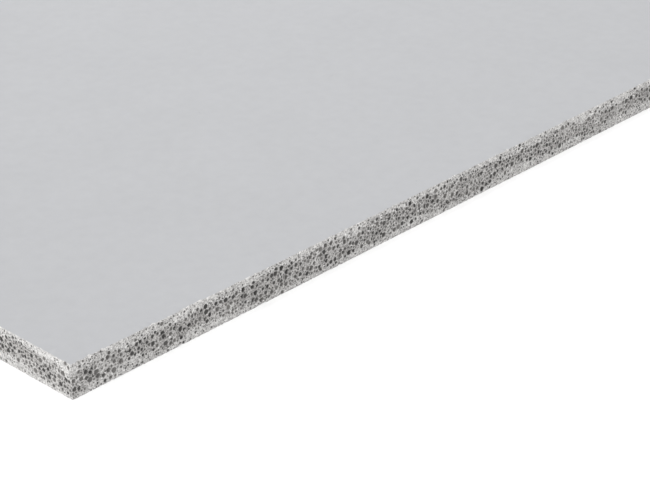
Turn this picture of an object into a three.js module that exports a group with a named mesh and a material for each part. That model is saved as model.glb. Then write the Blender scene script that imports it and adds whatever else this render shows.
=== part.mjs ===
// A square-edged cement board: one flat sheet of lightweight concrete, lying face up on a level floor.
// Lengths are in millimetres. +X runs along the sheet, +Y across it and +Z up through its thickness.
// The origin is the middle of the underside.
import * as THREE from 'three';

const boardLength = 1250; // along X, the long edge
const boardWidth = 1000; // along Y, the short edge
const boardThickness = 12.5; // from the back of the sheet to its face
const arrisEase = 0.3; // the narrow 45 degree flat that sawing and handling leave on every sharp edge

const paleCement = new THREE.MeshStandardMaterial({
  color: 0xc8c9cb,
  roughness: 0.88,
  metalness: 0,
});

// A rectangle centred on the origin, with each corner cut off at 45 degrees by `ease`.
function easedRectangle(length, width, ease) {
  const halfLength = length / 2;
  const halfWidth = width / 2;
  const outline = new THREE.Shape();
  outline.moveTo(-halfLength + ease, -halfWidth);
  outline.lineTo(halfLength - ease, -halfWidth);
  outline.lineTo(halfLength, -halfWidth + ease);
  outline.lineTo(halfLength, halfWidth - ease);
  outline.lineTo(halfLength - ease, halfWidth);
  outline.lineTo(-halfLength + ease, halfWidth);
  outline.lineTo(-halfLength, halfWidth - ease);
  outline.lineTo(-halfLength, -halfWidth + ease);
  outline.closePath();
  return outline;
}

// The whole sheet is one casting. Its outline at the face is one ease inside its sides, and the bevel runs
// out to the full length and width just below the face and just above the back.
function makeBoard() {
  const faceLength = boardLength - 2 * arrisEase;
  const faceWidth = boardWidth - 2 * arrisEase;
  const geometry = new THREE.ExtrudeGeometry(easedRectangle(faceLength, faceWidth, arrisEase), {
    depth: boardThickness - 2 * arrisEase,
    bevelEnabled: true,
    bevelThickness: arrisEase,
    bevelSize: arrisEase,
    bevelSegments: 1,
  });
  const board = new THREE.Mesh(geometry, paleCement);
  board.name = 'cement_board';
  board.position.z = arrisEase; // the lower bevel reaches down to the floor
  return board;
}

const part = new THREE.Group();
part.name = 'square_edged_cement_board';
part.add(makeBoard());

export default part;
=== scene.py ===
# A square-edged cement board, lying face up on a pale floor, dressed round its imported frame.
import math

import bpy
import numpy as np
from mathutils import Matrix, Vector


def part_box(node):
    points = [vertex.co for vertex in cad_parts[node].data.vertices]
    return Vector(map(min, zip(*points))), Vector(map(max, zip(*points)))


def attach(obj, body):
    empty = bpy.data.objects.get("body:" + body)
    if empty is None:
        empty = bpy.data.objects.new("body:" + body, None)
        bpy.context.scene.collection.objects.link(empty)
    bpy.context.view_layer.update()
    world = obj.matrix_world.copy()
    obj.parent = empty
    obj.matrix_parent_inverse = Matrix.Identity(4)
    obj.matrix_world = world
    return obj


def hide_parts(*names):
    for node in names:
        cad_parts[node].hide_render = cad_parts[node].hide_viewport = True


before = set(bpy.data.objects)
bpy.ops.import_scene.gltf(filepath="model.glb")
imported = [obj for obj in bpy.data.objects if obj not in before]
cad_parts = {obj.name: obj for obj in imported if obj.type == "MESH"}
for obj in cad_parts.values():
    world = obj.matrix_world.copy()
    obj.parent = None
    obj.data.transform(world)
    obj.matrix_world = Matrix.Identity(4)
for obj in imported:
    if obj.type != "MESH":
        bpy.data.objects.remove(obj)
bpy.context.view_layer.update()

mm = 0.001                      # sizes below are written in millimetres and kept in metres
boardLow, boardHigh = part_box("cement_board")
boardLength, boardWidth, boardThickness = boardHigh - boardLow
perimeter = 2 * (boardLength + boardWidth)
rng = np.random.default_rng(1250)


# Camera: the view of the photograph, worked out from the four edge lines that meet at the near corner
photoView = {
    "frameWide": 650, "frameHigh": 500,          # the picture, in pixels
    "cornerAcross": 72.7, "cornerDown": 400.7,   # where the near bottom corner stands in it, in pixels
    "cornerDepth": 628.8 * mm,                   # from the lens to that corner, along the view
    "azimuth": -46.62, "elevation": 28.01,       # degrees, 0 looks along +Y
    "lens": 115.1, "sensor": 36.0,
}


def addCamera(view, nearCorner):
    turn, tilt = math.radians(view["azimuth"]), math.radians(view["elevation"])
    ahead = Vector((-math.sin(turn) * math.cos(tilt), math.cos(turn) * math.cos(tilt), -math.sin(tilt)))
    right = Vector((math.cos(turn), math.sin(turn), 0.0))
    up = right.cross(ahead)
    pixelsPerSlope = view["lens"] / view["sensor"] * view["frameWide"]
    across = (view["cornerAcross"] - view["frameWide"] / 2) / pixelsPerSlope
    above = (view["frameHigh"] / 2 - view["cornerDown"]) / pixelsPerSlope
    camera = bpy.data.objects.new("photoCamera", bpy.data.cameras.new("photoCamera"))
    camera.data.lens = view["lens"]
    camera.data.sensor_width = view["sensor"]
    camera.data.clip_start = 0.01
    camera.location = nearCorner - (ahead + right * across + up * above) * view["cornerDepth"]
    camera.rotation_mode = "QUATERNION"
    camera.rotation_quaternion = ahead.to_track_quat("-Z", "Y")
    bpy.context.scene.collection.objects.link(camera)
    bpy.context.scene.camera = camera


addCamera(photoView, Vector(boardLow))
print("camera placed")


# The four sawn edges are unrolled into one strip: along runs round the outline from the near corner,
# against the clock seen from above, and height runs up from the back of the board.

# A ramp from 0 to 1 between two values, rounded at its ends: 3t^2 - 2t^3
def smoothStep(low, high, value):
    t = np.clip((value - low) / (high - low), 0, 1)
    return t * t * (3 - 2 * t)


rowsBelow, rowsSpare = 2, 5     # rows of cells below the back, and below it and above the face together


# Smooth noise from 0 to 1 on the strip: random values at the corners of square cells, blended by
# smoothStep. A whole number of cells goes round the outline, so the noise closes on itself.
def noiseField(size):
    columns = round(perimeter / size)
    pitch = perimeter / columns
    values = rng.random((columns, math.ceil(boardThickness / pitch) + rowsSpare + 1))

    def sample(along, height):
        a, b = along / pitch, height / pitch + rowsBelow
        column, row = np.floor(a).astype(int), np.floor(b).astype(int)
        ta, tb = smoothStep(0, 1, a - column), smoothStep(0, 1, b - row)
        here, following = column % columns, (column + 1) % columns
        low = values[here, row] * (1 - ta) + values[following, row] * ta
        high = values[here, row + 1] * (1 - ta) + values[following, row + 1] * ta
        return low * (1 - tb) + high * tb
    return sample


layering = {
    "backSkin": 3.1 * mm,       # finer concrete over the back, seen as a pale band on the sawn edge
    "faceSkin": 2.9 * mm,       # the same under the face
    "backSwell": 3.4 * mm,      # how far the core's two surfaces wander
    "faceSwell": 2.4 * mm,
    "blur": 1.0 * mm,           # height over which core and skin pass into each other
}
backSwell, faceSwell = noiseField(13 * mm), noiseField(9 * mm)
smallClusters, largeClusters = noiseField(2.6 * mm), noiseField(9 * mm)


# How rich in grains the concrete is at a point, from 0 to 1: two slow noises, stretched about their middle
def richness(along, height):
    mixed = 0.6 * smallClusters(along, height) + 0.4 * largeClusters(along, height)
    return smoothStep(0.25, 0.75, mixed)


# How much a point of the strip belongs to the grainy core: 1 inside it and 0 in the skins, with a soft
# step at two heights that wander along the edge
def coreShare(along, height):
    backWander, faceWander = backSwell(along, 0 * along) - 0.5, faceSwell(along, 0 * along) - 0.5
    low = layering["backSkin"] + layering["backSwell"] * backWander
    high = boardThickness - layering["faceSkin"] + layering["faceSwell"] * faceWander
    half = layering["blur"] / 2
    return smoothStep(low - half, low + half, height) * (1 - smoothStep(high - half, high + half, height))


# Cut grains, the largest first. A layer has one grain at most in each square cell of the strip.
grainLayers = [
    {"cell": 2.30 * mm, "least": 0.65 * mm, "most": 1.05 * mm, "inCore": 0.75, "inSkin": 0.06},
    {"cell": 1.40 * mm, "least": 0.42 * mm, "most": 0.70 * mm, "inCore": 1.00, "inSkin": 0.10},
    {"cell": 1.00 * mm, "least": 0.28 * mm, "most": 0.48 * mm, "inCore": 0.95, "inSkin": 0.20},
    {"cell": 0.70 * mm, "least": 0.18 * mm, "most": 0.30 * mm, "inCore": 0.95, "inSkin": 0.25},
]
sowing = {
    "poor": 0.72, "rich": 2.02,                 # factor on a grain's chance where richness is 0 and 1
    "cellMargin": 0.12,                         # share of a cell that a grain's centre keeps off its sides
    "sizeSkew": 1.5,                            # above 1, small grains are the commoner ones
    "inset": 0.85,                              # share of its radius that a centre keeps inside the faces
    "web": 0.16 * mm,                           # cement left between two grains
    "lap": 0.64,                                # most of the way to a neighbour's centre that a radius takes
    "leastKept": 0.7,                           # share of its least radius below which a grain is left out
    "toneDice": 0.65, "toneRichness": 0.7,      # what makes a grain dark: chance, and richness above 0.25
    "coreShading": 0.6,                         # how much paler the core's cement is where grains are few
}
grains = {key: np.zeros(0) for key in ("along", "height", "radius", "tone", "pit")}


# Shortest way from one place to another round the outline, with its sign
def wayRound(along, other):
    return (along - other + perimeter / 2) % perimeter - perimeter / 2


# The nearest and the next nearest grain to each point, by signed distance to the rim: the distance to the
# centre less the radius. The 3 x 3 cells round a point hold every grain of a layer that can be its nearest.
def nearestGrains(along, height, layers):
    rims = [np.full(along.shape, 1.0), np.full(along.shape, 1.0)]
    names = [np.zeros(along.shape, int), np.zeros(along.shape, int)]
    for layer in layers:
        column = np.floor(along / layer["pitch"]).astype(int)
        row = np.floor(height / layer["pitch"]).astype(int) + rowsBelow
        for step in range(9):
            name = (column + step // 3 - 1) % layer["columns"] * layer["rows"] + row + step % 3 - 1
            name = name + layer["first"]
            rim = np.hypot(wayRound(along, grains["along"][name]), height - grains["height"][name])
            rim = rim - grains["radius"][name]
            nearest = rim < rims[0]
            nextOne = ~nearest & (rim < rims[1])
            rims[1] = np.where(nearest, rims[0], np.where(nextOne, rim, rims[1]))
            names[1] = np.where(nearest, names[0], np.where(nextOne, name, names[1]))
            rims[0] = np.where(nearest, rim, rims[0])
            names[0] = np.where(nearest, name, names[0])
    return rims, names


# One layer of grains, each at a random place in its cell. A grain is cut back until it clears the larger
# grains and reaches only some of the way to its neighbours, and is left out where little remains.
def sowGrains(layer, larger):
    columns = round(perimeter / layer["cell"])
    pitch = perimeter / columns
    rows = math.ceil(boardThickness / pitch) + rowsSpare
    layer.update(columns=columns, rows=rows, pitch=pitch, first=len(grains["along"]))
    dice = rng.random((6, columns, rows))
    margin, room = sowing["cellMargin"], 1 - 2 * sowing["cellMargin"]
    along = (np.arange(columns)[:, None] + margin + room * dice[0]) * pitch
    height = (np.arange(rows)[None, :] - rowsBelow + margin + room * dice[1]) * pitch
    inside = np.clip(height, 0, boardThickness)
    radius = layer["least"] + (layer["most"] - layer["least"]) * dice[2] ** sowing["sizeSkew"]
    chance = layer["inSkin"] + (layer["inCore"] - layer["inSkin"]) * coreShare(along, inside)
    rich = richness(along, inside)
    chance = chance * (sowing["poor"] + (sowing["rich"] - sowing["poor"]) * rich)
    inset = sowing["inset"] * radius
    present = (dice[3] < chance) & (height > inset) & (height < boardThickness - inset)
    if larger:
        radius = np.minimum(radius, nearestGrains(along, inside, larger)[0][0] - 0.5 * sowing["web"])
    for step in range(9):
        if step != 4:
            shift = (step // 3 - 1, step % 3 - 1)
            acrossTo = wayRound(along, np.roll(along, shift, (0, 1)))
            apart = np.hypot(acrossTo, height - np.roll(height, shift, (0, 1)))
            lapped = np.minimum(radius, sowing["lap"] * apart)
            radius = np.where(np.roll(present, shift, (0, 1)), lapped, radius)
    radius = np.where(present & (radius > sowing["leastKept"] * layer["least"]), radius, -1.0)
    tone = np.clip(sowing["toneDice"] * dice[4] + sowing["toneRichness"] * (rich - 0.25), 0, 1)
    found = {"along": along, "height": height, "radius": radius, "tone": tone, "pit": dice[5]}
    for key, values in found.items():
        grains[key] = np.concatenate([grains[key], values.ravel()])


for count, grainLayer in enumerate(grainLayers):
    sowGrains(grainLayer, grainLayers[:count])
print(int(np.sum(grains["radius"] > 0)), "grains sown")


sawnEdge = {
    "cell": 0.45 * mm,          # spacing of the surface grid
    "margin": 4 * mm,           # strip of face and back that each edge piece carries
    "lap": 60 * mm,             # how far each edge piece reaches round its corner
    "ease": 0.22 * mm,          # the arris where nothing has chipped it
    "cornerEase": 0.35 * mm,    # the same on the upright corners
    "raggedLeast": 0.6,         # least width of an arris, as a share of its ease
    "raggedSwing": 0.8,         # what noise adds to that share
    "cornerLeast": 0.7,         # the same two on the upright corners
    "cornerSwing": 0.6,
    "chipBite": 0.65 * mm,      # the deepest chip in an arris
    "chipsFrom": 0.72,          # how high the noise of chips has to be for one, from 0 to 1
    "biteShare": 0.85,          # least width of an arris, as a share of the depth of a pit that meets it
    "middle": 0.35,             # the middle of an arris, as a share of its width in from both sides
    "closeShare": 0.75,         # most width of an arris at a corner, as a share of cornerEase
    "closeSlope": 0.5,          # how fast that grows on the way from the corner
    "cornerPit": 0.3,           # the same two for the depth of a pit
    "cornerSlope": 0.8,
    "cornerRound": 0.4,         # how far in a corner's middle line stands, as a share of the widths there
    "squeeze": 2 * mm,         # grid lines close up over this distance to make room for the arris
    "snapReach": 0.4,           # how near a grain's rim a grid point is drawn on to it, in cells
    "pitShare": 0.8,            # depth of a broken-out grain as a share of its radius
    "cutShare": 0.25,           # the same for a grain that the saw cut through
    "pitOdds": 0.45,            # share of the grains that broke out
    "tooth": 0.09 * mm,         # roughness of the sawn surface
    "wander": 0.12 * mm,        # waviness of the saw cut
    "mapBands": 8,              # an edge is long and thin, so its texture map is folded into bands
}
fineTooth, coarseTooth, cutWander = noiseField(0.5 * mm), noiseField(1.3 * mm), noiseField(14 * mm)
arrisRagged, faceChips, backChips = noiseField(0.7 * mm), noiseField(1.6 * mm), noiseField(1.6 * mm)


# Depth behind the saw cut: its wander, its tooth, and a pit at each grain that drops from the rim by the
# square root of 1 - (1 - t)^2, where t is the way in from the rim to the centre. Where two grains lap, a web
# of cement stands between them.
def cutDepth(along, height):
    edge = sawnEdge
    rims, names = nearestGrains(along, height, grainLayers)
    rim = np.maximum(rims[0], (sowing["web"] - (rims[1] - rims[0])) / 2)
    radius = np.maximum(grains["radius"][names[0]], 0.1 * mm)
    inward = np.clip(-rim / radius, 0, 1)
    share = np.where(grains["pit"][names[0]] < edge["pitOdds"], edge["pitShare"], edge["cutShare"])
    depth = share * radius * np.sqrt(1 - (1 - inward) ** 2)
    depth = depth + edge["tooth"] * (0.6 * fineTooth(along, height) + 0.4 * coarseTooth(along, height))
    return depth + edge["wander"] * cutWander(along, height)


# How far points that are close to a grain's rim have to move to lie on it, so that pits keep their outline
def snapToRims(along, height):
    rims, names = nearestGrains(along, height, grainLayers)
    away = wayRound(along, grains["along"][names[0]])
    above = height - grains["height"][names[0]]
    reach = np.maximum(np.hypot(away, above), 0.05 * mm)
    near = np.abs(rims[0]) < sawnEdge["snapReach"] * sawnEdge["cell"]
    pull = np.where(near, -rims[0] / reach, 0)
    return pull * away, pull * above


# Moves what lies within reach of an end so that 0 goes to start, and reach stays
def makeRoom(distance, start, reach):
    return np.where(distance < reach, start + distance * (reach - start) / reach, distance)


# Width of an arris along its length: its ease, a fine raggedness, and chips where a slower noise peaks
def arrisWidth(along, chips):
    edge = sawnEdge
    ragged = edge["raggedLeast"] + edge["raggedSwing"] * arrisRagged(along, 0 * along)
    chipped = smoothStep(edge["chipsFrom"], 1.0, chips(along, 0 * along))
    return edge["ease"] * ragged + edge["chipBite"] * chipped


def meshFrom(name, points, quads, caps, slots, mapping):
    mesh = bpy.data.meshes.new(name)
    mesh.from_pydata(points.tolist(), [], [*quads.tolist(), *caps])
    mesh.polygons.foreach_set("material_index", slots.astype(np.int32))
    mesh.polygons.foreach_set("use_smooth", slots == 1)
    layer = mesh.uv_layers.new(name="OFBake")
    layer.data.foreach_set("uv", mapping.astype(np.float32).ravel())
    mesh.update()
    return mesh


def addAttribute(mesh, name, kind, domain, values):
    attribute = mesh.attributes.new(name, kind, domain)
    attribute.data.foreach_set("value" if kind == "FLOAT" else "vector", values.astype(np.float32).ravel())


def addPiece(name, mesh, materials, sharpAngle):
    piece = bpy.data.objects.new(name, mesh)
    bpy.context.scene.collection.objects.link(piece)
    for material in materials:
        mesh.materials.append(material)
    mesh.set_sharp_from_angle(angle=math.radians(sharpAngle))
    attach(piece, "root")
    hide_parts("cement_board")
    return piece


# The grid on one sawn edge. Columns go along the strip, from lap before the corner, over the corner's own
# middle line, to lap before the next corner. Side is -1 before the corner, 0 on it and 1 after it.
def edgeGrid(start, length):
    edge = sawnEdge
    before = np.linspace(-edge["lap"], 0, round(edge["lap"] / edge["cell"]) + 1)
    rest = length - edge["lap"]
    after = np.linspace(0, rest, round(rest / edge["cell"]) + 1)
    run = np.concatenate([before, [0.0], after])
    side = np.concatenate([-np.ones(len(before)), [0.0], np.ones(len(after))])[:, None]
    heights = np.linspace(boardThickness, 0.0, round(boardThickness / edge["cell"]) + 1)
    run, height = np.meshgrid(run, heights, indexing="ij")
    moveRun, moveHeight = snapToRims(start + run, height)
    free = np.abs(run) > 1.5 * edge["cell"]         # the corner and the outer lines stay where they are
    free[[0, -1]] = False
    free[:, [0, -1]] = False
    return run + moveRun * free, height + moveHeight * free, side, heights


# The grid with room for the arrises, and their widths along the face, along the back and up the corner. Near
# the corner the first two are held below a width that grows with the way from it.
def roomForArrises(run, height, side, heights, start):
    edge, top = sawnEdge, boardThickness
    faceWidth, backWidth = (arrisWidth(start + run[:, 0], chips) for chips in (faceChips, backChips))
    ragged = edge["cornerLeast"] + edge["cornerSwing"] * arrisRagged(heights + start, 0 * heights)
    cornerWidth = edge["cornerEase"] * ragged
    closing = edge["closeShare"] * edge["cornerEase"] + edge["closeSlope"] * np.abs(run[:, 0])
    faceWidth, backWidth = np.minimum(faceWidth, closing), np.minimum(backWidth, closing)
    fromFace = makeRoom(top - height, faceWidth[:, None], edge["squeeze"])
    fromBack = makeRoom(height, backWidth[:, None], edge["squeeze"])
    height = np.where(height > top / 2, top - fromFace, fromBack)
    run = side * makeRoom(np.abs(run), cornerWidth[None, :], edge["squeeze"])
    return run, height, faceWidth, backWidth, cornerWidth


# A row for each of the six lines beside the sawn edge, three above it and three below, with the values of
# the edge's own outer rows
def withOuterRows(values):
    return np.concatenate([values[..., [0, 0, 0]], values, values[..., [-1, -1, -1]]], -1)


# The section's rows: the inner line, the face side of the arris and its middle, the sawn edge, and the same
# below. Each has its depth behind the edge and its level above the back.
def edgeSection(height, depth, faceWidth, backWidth):
    edge, top = sawnEdge, boardThickness
    faceBite = np.maximum(faceWidth, edge["biteShare"] * depth[:, 0])
    backBite = np.maximum(backWidth, edge["biteShare"] * depth[:, -1])
    margin, zero, middle = np.full(len(depth), edge["margin"]), np.zeros(len(depth)), edge["middle"]
    depths = np.column_stack([margin, faceBite, depth[:, 0] + (faceBite - depth[:, 0]) * middle, depth,
                              depth[:, -1] + (backBite - depth[:, -1]) * middle, backBite, margin])
    levels = np.column_stack([zero + top, zero + top, top - (top - height[:, 0]) * middle, height,
                              height[:, -1] * middle, zero, zero])
    return depths, levels


# The places of the section's rows, seen from above: on the edge before the corner, on the one after it, or
# on the corner's own middle line. The inner line turns the corner as a mitre.
def edgePlaces(index, run, side, depths, cornerWidth):
    ways = [(1, 0), (0, 1), (-1, 0), (0, -1)]
    low, high = boardLow, boardHigh
    corners = [(low.x, low.y), (high.x, low.y), (high.x, high.y), (low.x, high.y)]
    corner, ahead, behind = np.array(corners[index]), np.array(ways[index]), np.array(ways[index - 1])
    inwardAhead, inwardBehind = -behind, ahead      # the board lies on the left of its outline
    margin = sawnEdge["margin"]
    fade = 3 * margin                               # length over which the inner line becomes a mitre
    runs = withOuterRows(run)
    mitre = side[:, 0] * (margin + np.abs(run[:, 0]) * (fade - margin) / fade)
    runs[:, 0] = runs[:, -1] = np.where(np.abs(run[:, 0]) < fade, mitre, run[:, 0])
    diagonal = sawnEdge["cornerRound"] * (depths + withOuterRows(cornerWidth))
    diagonal[:, [0, -1]] = margin
    side, runs, depths, diagonal = (values[..., None] for values in (side, runs, depths, diagonal))
    afterCorner = runs * ahead + depths * inwardAhead
    beforeCorner = runs * behind + depths * inwardBehind
    onCorner = diagonal * (inwardAhead + inwardBehind)
    return corner + np.where(side > 0, afterCorner, np.where(side < 0, beforeCorner, onCorner))


# Texture map of a sawn edge: the strip is cut into bands of equal length, one above the other. The section
# fills most of a band's height, the hidden inner wall the rest, and the two end caps share the top rim.
def bandedMap(depths, levels):
    bands, (columns, count) = sawnEdge["mapBands"], depths.shape
    perBand = math.ceil((columns - 1) / bands)
    steps = np.hypot(np.diff(depths.mean(0)), np.diff(levels.mean(0)))
    girth = np.concatenate([[0], np.cumsum(steps)])
    sectionShare, wallEnd, gap = 0.9, 0.94, 0.03
    girth = np.append(girth / girth[-1] * sectionShare, wallEnd) + gap
    column = np.arange(columns - 1)
    v = (column[:, None] // perBand + girth[None, :]) / bands
    left = np.broadcast_to(((column % perBand + 0.5) / (perBand + 1))[:, None], (columns - 1, count))
    right = left + 1 / (perBand + 1)
    corners = [(left, v[:, :-1]), (left, v[:, 1:]), (right, v[:, 1:]), (right, v[:, :-1])]
    quadMap = np.stack([np.stack(corner, -1) for corner in corners], 2).reshape(-1, 2)
    capMap = np.column_stack([np.linspace(0, 0.01, 2 * count), np.full(2 * count, 0.999)])
    return np.concatenate([quadMap, capMap])


# What the edge material reads: each point's place on the strip and its share of the core, and for each quad
# its two nearest grains and their tones. The two end caps, which come last, have none.
def addStripData(mesh, start, run, height, depths, quads):
    top = boardThickness
    unrolled = np.column_stack([top + depths[:, :3] * [1, 1, 0.5], height, -depths[:, -3:] * [0.5, 1, 1]])
    place = np.stack([withOuterRows(run) + start, unrolled, 0 * unrolled], -1) / mm
    addAttribute(mesh, "stripPlace", "FLOAT_VECTOR", "POINT", place)
    along = start + run
    share = coreShare(along, height) * (1 - sowing["coreShading"] * (1 - richness(along, height)))
    addAttribute(mesh, "coreShare", "FLOAT", "POINT", withOuterRows(share))
    ring = place.reshape(-1, 3)[quads.ravel(), :2].reshape(-1, 4, 2) * mm
    centreAlong, centreHeight = ring[:, :, 0].mean(1), np.clip(ring[:, :, 1].mean(1), -mm, top + mm)
    names = nearestGrains(centreAlong, centreHeight, grainLayers)[1]
    for label, name in zip(("grainNear", "grainNext"), names):
        grainAlong = centreAlong - wayRound(centreAlong, grains["along"][name])
        data = np.stack([grainAlong, grains["height"][name], grains["radius"][name]], -1) / mm
        addAttribute(mesh, label, "FLOAT_VECTOR", "FACE", np.concatenate([data, [[0, -99, 0]] * 2]))
    tones = np.stack([grains["tone"][names[0]], grains["tone"][names[1]], 0 * centreAlong], -1)
    addAttribute(mesh, "grainTones", "FLOAT_VECTOR", "FACE", np.concatenate([tones, [[0, 0, 0]] * 2]))


# One sawn edge with the corner that it starts from, as a closed ring of rows: from the inner line on the
# face, over the arris, down the sawn edge, round the lower arris and back to the inner line on the back, and
# up the hidden inner wall.
def sawnEdgeMesh(name, index):
    edge, lengths = sawnEdge, [boardLength, boardWidth, boardLength, boardWidth]
    start = sum(lengths[:index])
    run, height, side, heights = edgeGrid(start, lengths[index])
    run, height, faceWidth, backWidth, cornerWidth = roomForArrises(run, height, side, heights, start)
    deepest = edge["cornerSlope"] * np.abs(run) + edge["cornerPit"] * edge["cornerEase"] * (side == 0)
    depth = np.minimum(cutDepth(start + run, height), deepest)
    depths, levels = edgeSection(height, depth, faceWidth, backWidth)
    flat = edgePlaces(index, run, side, depths, cornerWidth)
    points = np.concatenate([flat, levels[..., None] + boardLow.z], 2)

    # Faces: slot 0 is the face, 1 the sawn edge and the hidden inner wall, 2 the back
    columns, count = depths.shape
    ids = np.arange(columns * count).reshape(columns, count)
    following = np.roll(ids, -1, 1)
    quads = np.stack([ids[:-1], following[:-1], following[1:], ids[1:]], -1).reshape(-1, 4)
    caps = [ids[0, ::-1].tolist(), ids[-1].tolist()]
    rowSlots = np.ones(count, int)
    rowSlots[0], rowSlots[-2] = 0, 2
    slots = np.concatenate([np.tile(rowSlots, columns - 1), [1, 1]])
    mesh = meshFrom(name, points.reshape(-1, 3), quads, caps, slots, bandedMap(depths, levels))
    addStripData(mesh, start, run, height, depths, quads)
    return mesh


# Face and back of the board inside the edge pieces: two grids of points, joined by a wall round their
# border. The face sags by slow waves, the product of two sines, that die out at the border.
slab = {"spacing": 9 * mm, "sag": 0.06 * mm, "waveX": 310 * mm, "waveY": 230 * mm, "border": 40 * mm}


def slabMesh(name):
    low = np.array([boardLow.x, boardLow.y]) + sawnEdge["margin"]
    high = np.array([boardHigh.x, boardHigh.y]) - sawnEdge["margin"]
    wide, deep = np.round((high - low) / slab["spacing"]).astype(int)
    x, y = np.linspace(low[0], high[0], wide + 1), np.linspace(low[1], high[1], deep + 1)
    x, y = np.meshgrid(x, y, indexing="ij")
    toBorder = np.minimum(np.minimum(x - low[0], high[0] - x), np.minimum(y - low[1], high[1] - y))
    waves = 0.5 + 0.5 * np.sin(2 * math.pi * x / slab["waveX"]) * np.sin(2 * math.pi * y / slab["waveY"])
    sag = slab["sag"] * waves * smoothStep(0, slab["border"], toBorder)
    faceGrid = np.stack([x, y, boardHigh.z - sag], -1).reshape(-1, 3)
    backGrid = np.stack([x, y, boardLow.z + 0 * sag], -1).reshape(-1, 3)
    ids = np.arange(len(faceGrid)).reshape(wide + 1, deep + 1)
    up = np.stack([ids[:-1, :-1], ids[1:, :-1], ids[1:, 1:], ids[:-1, 1:]], -1).reshape(-1, 4)
    down = up[:, ::-1] + len(faceGrid)
    rim = np.concatenate([ids[:-1, 0], ids[-1, :-1], ids[:0:-1, -1], ids[0, :0:-1]])
    following = np.roll(rim, -1)
    wall = np.stack([rim, rim + len(faceGrid), following + len(faceGrid), following], -1)
    quads = np.concatenate([up, down, wall])
    parts = [len(up), len(down), len(wall)]
    points = np.concatenate([faceGrid, backGrid])
    # The face fills the lower half of the texture map and the back the upper half, with a gap between them.
    # The hidden wall gets no area of its own.
    mapping = (points[quads.ravel(), :2] - low) / (high - low) * [0.98, 0.47] + 0.01
    mapping[:, 1] += np.repeat([0, 0.5, 0.49], np.array(parts) * 4)
    mesh = meshFrom(name, points, quads, [], np.repeat([0, 2, 1], parts), mapping)
    mesh.polygons.foreach_set("use_smooth", np.ones(len(quads), bool))
    return mesh


# Shader helpers
def addNode(tree, kind, inputs=(), **settings):
    node = tree.nodes.new(kind)
    for key, value in settings.items():
        setattr(node, key, value)
    for socket, value in dict(inputs).items():
        if isinstance(value, bpy.types.NodeSocket):
            tree.links.new(value, node.inputs[socket])
        else:
            node.inputs[socket].default_value = value
    return node


def mathNode(tree, operation, first, second=0.0):
    return addNode(tree, "ShaderNodeMath", {0: first, 1: second}, operation=operation).outputs[0]


def vectorNode(tree, operation, inputs, output="Vector"):
    return addNode(tree, "ShaderNodeVectorMath", inputs, operation=operation).outputs[output]


def stepNode(tree, value, low, high):
    ends = {"Value": value, "From Min": low, "From Max": high}
    return addNode(tree, "ShaderNodeMapRange", ends, interpolation_type="SMOOTHSTEP").outputs["Result"]


def mixNode(tree, factor, first, second):
    return addNode(tree, "ShaderNodeMix", {0: factor, 6: first, 7: second}, data_type="RGBA").outputs[2]


def readAttribute(tree, name, output):
    return addNode(tree, "ShaderNodeAttribute", attribute_name=name).outputs[output]


def newGroup(name, inputs, outputs):
    tree = bpy.data.node_groups.new(name, "ShaderNodeTree")
    for label, value in inputs.items():
        kind = "NodeSocketVector" if value is None else "NodeSocketFloat"
        socket = tree.interface.new_socket(name=label, in_out="INPUT", socket_type=kind)
        if value is not None:
            socket.default_value = value
    for label in outputs:
        tree.interface.new_socket(name=label, in_out="OUTPUT", socket_type="NodeSocketFloat")
    return tree, tree.nodes.new("NodeGroupInput").outputs, tree.nodes.new("NodeGroupOutput").inputs


def useGroup(tree, group, **inputs):
    return addNode(tree, "ShaderNodeGroup", inputs, node_tree=group).outputs


# Round specks with a soft rim, one in some of the cells of a Voronoi pattern. Spacing and Size are in
# millimetres, and a speck is 0.4 to 1.4 times Size across.
def speckGroup():
    inputs = {"Vector": None, "Spacing": 1.0, "Size": 0.3, "Share": 0.5}
    tree, given, result = newGroup("roundSpecks", inputs, ["Specks"])
    scale = mathNode(tree, "DIVIDE", 1.0 / mm, given["Spacing"])
    cells = addNode(tree, "ShaderNodeTexVoronoi", {"Vector": given["Vector"], "Scale": scale})
    dice = addNode(tree, "ShaderNodeSeparateColor", {"Color": cells.outputs["Color"]})
    distance = mathNode(tree, "MULTIPLY", cells.outputs["Distance"], given["Spacing"])
    varied = mathNode(tree, "MULTIPLY", given["Size"], mathNode(tree, "ADD", dice.outputs["Green"], 0.4))
    outer = mathNode(tree, "MULTIPLY", varied, 0.5)
    inner = mathNode(tree, "MULTIPLY", varied, 0.28)
    disc = mathNode(tree, "SUBTRACT", 1.0, stepNode(tree, distance, inner, outer))
    there = mathNode(tree, "LESS_THAN", dice.outputs["Red"], given["Share"])
    tree.links.new(mathNode(tree, "MULTIPLY", disc, there), result["Specks"])
    return tree


# Cloudy shading about 1: broad patches, smaller mottles and a fine grit, each with its own strength and its
# own size in millimetres. Height is the grit alone.
def cloudGroup():
    inputs = {"Vector": None, "Patch": 30.0, "Patchiness": 0.03, "Mottle": 5.0, "Mottling": 0.03,
              "Grit": 0.6, "Grittiness": 0.02}
    tree, given, result = newGroup("cementCloud", inputs, ["Shade", "Height"])
    total = 1.0
    for size, strength, detail in (("Patch", "Patchiness", 4.0), ("Mottle", "Mottling", 3.0),
                                   ("Grit", "Grittiness", 2.0)):
        scale = mathNode(tree, "DIVIDE", 1.0 / mm, given[size])
        settings = {"Vector": given["Vector"], "Scale": scale, "Detail": detail}
        noise = addNode(tree, "ShaderNodeTexNoise", settings)
        centred = mathNode(tree, "SUBTRACT", noise.outputs["Fac"], 0.5)
        swing = mathNode(tree, "MULTIPLY", given[strength], 2.0)
        total = mathNode(tree, "ADD", total, mathNode(tree, "MULTIPLY", centred, swing))
    tree.links.new(total, result["Shade"])
    tree.links.new(noise.outputs["Fac"], result["Height"])
    return tree


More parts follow.
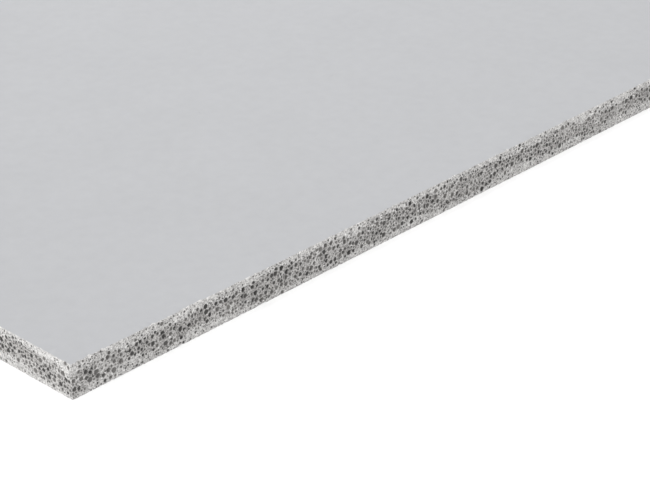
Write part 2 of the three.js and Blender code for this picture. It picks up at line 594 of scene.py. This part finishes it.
# Sand in the cement: each cell of a Voronoi pattern has its own shade, from 1 - Contrast to 1 + Contrast
def sandGroup():
    tree, given, result = newGroup("cementSand", {"Vector": None, "Size": 0.5, "Contrast": 0.2}, ["Shade"])
    scale = mathNode(tree, "DIVIDE", 1.0 / mm, given["Size"])
    cells = addNode(tree, "ShaderNodeTexVoronoi", {"Vector": given["Vector"], "Scale": scale})
    dice = addNode(tree, "ShaderNodeSeparateColor", {"Color": cells.outputs["Color"]})
    centred = mathNode(tree, "SUBTRACT", mathNode(tree, "MULTIPLY", dice.outputs["Red"], 2.0), 1.0)
    swing = mathNode(tree, "MULTIPLY", centred, given["Contrast"])
    tree.links.new(mathNode(tree, "ADD", swing, 1.0), result["Shade"])
    return tree


# Signed distance from a place on the unrolled edge to a cut grain's rim. Grain holds the centre's place
# along and up the edge, and the radius.
def cutGrainGroup():
    tree, given, result = newGroup("cutGrain", {"Place": None, "Grain": None}, ["Rim"])
    centre = vectorNode(tree, "MULTIPLY", {0: given["Grain"], 1: (1.0, 1.0, 0.0)})
    distance = vectorNode(tree, "DISTANCE", {0: given["Place"], 1: centre}, "Value")
    radius = addNode(tree, "ShaderNodeSeparateXYZ", {0: given["Grain"]}).outputs["Z"]
    tree.links.new(mathNode(tree, "SUBTRACT", distance, radius), result["Rim"])
    return tree


specks, cloud, sand, cutGrain = speckGroup(), cloudGroup(), sandGroup(), cutGrainGroup()
cementSheen = 0.3               # specular level of every finish


def newMaterial(name, look):
    material = bpy.data.materials.new(name)
    material.use_nodes = True
    tree = material.node_tree
    shader = tree.nodes["Principled BSDF"]
    shader.inputs["Roughness"].default_value = look["roughness"]
    shader.inputs["Specular IOR Level"].default_value = cementSheen
    return material, tree, shader, addNode(tree, "ShaderNodeTexCoord").outputs["Object"]


def bumpFrom(tree, shader, height, distance):
    bump = addNode(tree, "ShaderNodeBump", {"Height": height, "Distance": distance, "Strength": 1.0})
    tree.links.new(bump.outputs["Normal"], shader.inputs["Normal"])


def scaled(tree, colour, factor):
    return vectorNode(tree, "SCALE", {0: colour, 3: factor})


faceLook = {
    "colour": (0.332, 0.3352, 0.3462),          # cool pale grey
    "patch": 26, "patchiness": 0.025,           # cloudy laitance, sizes in millimetres
    "mottle": 4.5, "mottling": 0.04,            # smaller trowelled marks
    "grit": 0.7, "grittiness": 0.02,
    # The pinhole darkening is painted shade: how much darker the inside of a pinhole is made
    "pinholes": 14, "pinholeSize": 0.7, "pinholeShare": 0.35, "pinholeShade": 0.12,
    "roughness": 0.72, "bump": 0.02 * mm,
}
# The back's pinholes carry more painted shade than the face's
backLook = dict(faceLook, colour=(0.31, 0.31, 0.306), patchiness=0.07, mottling=0.08, grittiness=0.08,
                bump=0.08 * mm, roughness=0.85, pinholes=7, pinholeShare=0.5, pinholeShade=0.3)


def faceMaterial(name, look):
    material, tree, shader, place = newMaterial(name, look)
    shade = useGroup(tree, cloud, Vector=place, Patch=look["patch"], Patchiness=look["patchiness"],
                     Mottle=look["mottle"], Mottling=look["mottling"],
                     Grit=look["grit"], Grittiness=look["grittiness"])
    dots = useGroup(tree, specks, Vector=place, Spacing=look["pinholes"], Size=look["pinholeSize"],
                    Share=look["pinholeShare"])["Specks"]
    # Painted shade: each pinhole's colour is darkened as the shade inside a small hole would be, and the
    # bump sinks it as well
    paintedPinholeShade = mathNode(tree, "SUBTRACT", 1.0, mathNode(tree, "MULTIPLY", dots, look["pinholeShade"]))
    total = mathNode(tree, "MULTIPLY", shade["Shade"], paintedPinholeShade)
    tree.links.new(scaled(tree, look["colour"], total), shader.inputs["Base Color"])
    bumpFrom(tree, shader, mathNode(tree, "SUBTRACT", shade["Height"], dots), look["bump"])
    return material


def grey(level, warmth):
    return (level * (1 + warmth), level, level * (1 - warmth), 1.0)


edgeLook = {
    "skin": grey(0.412, 0.018), "core": grey(0.288, 0.028), "lump": grey(0.53, 0.012),
    # The pore colour and the pore weight are painted shade: how dark the inside of a small pore is made
    "darkGrain": grey(0.042, 0.03), "midGrain": grey(0.130, 0.04), "poreShade": grey(0.11, 0.03),
    "patch": 5.0, "patchiness": 0.10, "grit": 0.3, "grittiness": 0.14,      # sizes in millimetres
    "sandSize": 0.46, "sandContrast": 0.38,
    "lumps": 1.5, "lumpSize": 1.2, "lumpShare": 0.35, "lumpWeight": 0.7,
    "pores": 0.75, "poreSize": 0.52, "poreShares": (0.25, 0.55), "poreShadeWeight": 0.8,   # in skin, in core
    "fraySize": 0.7, "fray": 0.35,              # how far a grain's rim strays either way
    "rimBlend": (-0.24, 0.08),                  # grain to cement, as distances out from the rim
    "toneBlend": (0.1, 0.9),                    # tones between which a grain goes from mid to dark
    "sandHeight": 1.5, "poreDepth": 1.5,        # against a grit of height 1
    "roughness": 0.92, "bump": 0.12 * mm,
}


def edgeMaterial(name, look):
    material, tree, shader, place = newMaterial(name, look)
    core = readAttribute(tree, "coreShare", "Fac")
    shade = useGroup(tree, cloud, Vector=place, Patch=look["patch"], Patchiness=look["patchiness"],
                     Mottling=0.0, Grit=look["grit"], Grittiness=look["grittiness"])
    sandy = {"Vector": place, "Size": look["sandSize"], "Contrast": look["sandContrast"]}
    grainy = useGroup(tree, sand, **sandy)["Shade"]

    # Cement with sand and pale lumps, and small pores darkened by painted shade, of which the core has more
    colour = mixNode(tree, core, look["skin"], look["core"])
    lumps = useGroup(tree, specks, Vector=place, Spacing=look["lumps"], Size=look["lumpSize"],
                     Share=look["lumpShare"])["Specks"]
    colour = mixNode(tree, mathNode(tree, "MULTIPLY", lumps, look["lumpWeight"]), colour, look["lump"])
    inSkin, inCore = look["poreShares"]
    poreShare = mathNode(tree, "ADD", mathNode(tree, "MULTIPLY", core, inCore - inSkin), inSkin)
    pores = useGroup(tree, specks, Vector=place, Spacing=look["pores"], Size=look["poreSize"],
                     Share=poreShare)["Specks"]
    # The pores' dark colour is painted shade, standing for the shade inside holes too small for the mesh
    colour = mixNode(tree, mathNode(tree, "MULTIPLY", pores, look["poreShadeWeight"]), colour, look["poreShade"])
    cement = scaled(tree, colour, grainy)

    # Cut grains, each an exact disc whose rim is frayed by a fine noise
    settings = {"Vector": place, "Scale": 1.0 / look["fraySize"] / mm, "Detail": 3.0}
    noise, reach = addNode(tree, "ShaderNodeTexNoise", settings).outputs["Color"], look["fray"]
    stretched = {0: noise, 1: (2 * reach, 2 * reach, 0.0), 2: (-reach, -reach, 0.0)}
    offset = vectorNode(tree, "MULTIPLY_ADD", stretched)
    frayed = vectorNode(tree, "ADD", {0: readAttribute(tree, "stripPlace", "Vector"), 1: offset})
    found = (readAttribute(tree, label, "Vector") for label in ("grainNear", "grainNext"))
    near, nextOne = (useGroup(tree, cutGrain, Place=frayed, Grain=grain)["Rim"] for grain in found)
    tones = addNode(tree, "ShaderNodeSeparateXYZ", {0: readAttribute(tree, "grainTones", "Vector")}).outputs
    useNext = mathNode(tree, "LESS_THAN", nextOne, near)
    tone = addNode(tree, "ShaderNodeMix", {0: useNext, 2: tones["X"], 3: tones["Y"]}).outputs[0]
    apart = mathNode(tree, "ABSOLUTE", mathNode(tree, "SUBTRACT", nextOne, near))
    web = mathNode(tree, "MULTIPLY", mathNode(tree, "SUBTRACT", sowing["web"] / mm, apart), 0.5)
    rim = mathNode(tree, "MAXIMUM", mathNode(tree, "MINIMUM", near, nextOne), web)
    inGrain = mathNode(tree, "SUBTRACT", 1.0, stepNode(tree, rim, *look["rimBlend"]))
    darkness = stepNode(tree, tone, *look["toneBlend"])
    grainColour = mixNode(tree, darkness, look["midGrain"], look["darkGrain"])
    colour = mixNode(tree, inGrain, cement, grainColour)
    tree.links.new(scaled(tree, colour, shade["Shade"]), shader.inputs["Base Color"])

    # Fine relief: grit, standing sand and sunken pores
    height = mathNode(tree, "ADD", shade["Height"], mathNode(tree, "MULTIPLY", grainy, look["sandHeight"]))
    height = mathNode(tree, "SUBTRACT", height, mathNode(tree, "MULTIPLY", pores, look["poreDepth"]))
    bumpFrom(tree, shader, height, look["bump"])
    return material


finishes = [faceMaterial("smoothCementFace", faceLook), edgeMaterial("sawnGrainyEdge", edgeLook),
            faceMaterial("roughCementBack", backLook)]
print("materials made")

sharpAngle = 40                 # degrees between two faces, past which their line is shaded sharp
for number, place in enumerate(("front", "right", "back", "left")):
    name = f"sawn_edge_{place}"
    sawnPiece = addPiece(name, sawnEdgeMesh(name, number), finishes, sharpAngle)
    print(name, len(sawnPiece.data.polygons), "faces")
slabPiece = addPiece("board_faces", slabMesh("board_faces"), finishes, sharpAngle)
print(slabPiece.name, len(slabPiece.data.polygons), "faces")


# Floor, sky and two soft boxes: a large one at the near left and a weak one over the board, both aimed at
# the near corner
studio = {
    "floorColour": (0.90, 0.90, 0.90, 1.0), "floorRoughness": 0.9, "floorSize": 12.0,
    "skyStrength": 0.86,
    "boxes": [{"name": "leftBox", "place": (-4.65, -1.85, 3.30), "size": 4.0, "power": 345.0},
              {"name": "overheadBox", "place": (0.36, 0.40, 0.75), "size": 0.5, "power": 3.2}],
}


def addStudio():
    scene = bpy.context.scene
    scene.view_settings.view_transform = "Standard"
    scene.view_settings.look = "None"
    world = bpy.data.worlds.new("paleStudio")
    scene.world = world
    world.use_nodes = True
    sky = world.node_tree.nodes["Background"].inputs
    sky["Color"].default_value = (1.0, 1.0, 1.0, 1.0)
    sky["Strength"].default_value = studio["skyStrength"]
    half, level = studio["floorSize"] / 2, boardLow.z
    corners = [(-half, -half, level), (half, -half, level), (half, half, level), (-half, half, level)]
    mesh = bpy.data.meshes.new("floor")
    mesh.from_pydata(corners, [], [(0, 1, 2, 3)])
    floor = bpy.data.objects.new("floor", mesh)
    scene.collection.objects.link(floor)
    material = bpy.data.materials.new("paleFloor")
    material.use_nodes = True
    shader = material.node_tree.nodes["Principled BSDF"].inputs
    shader["Base Color"].default_value = studio["floorColour"]
    shader["Roughness"].default_value = studio["floorRoughness"]
    mesh.materials.append(material)
    for box in studio["boxes"]:
        softBox = bpy.data.objects.new(box["name"], bpy.data.lights.new(box["name"], "AREA"))
        softBox.data.energy = box["power"]
        softBox.data.size = box["size"]
        softBox.location = Vector(boardLow) + Vector(box["place"])
        softBox.rotation_mode = "QUATERNION"
        softBox.rotation_quaternion = Vector(box["place"]).to_track_quat("Z", "Y")
        scene.collection.objects.link(softBox)


addStudio()
print("studio lit")
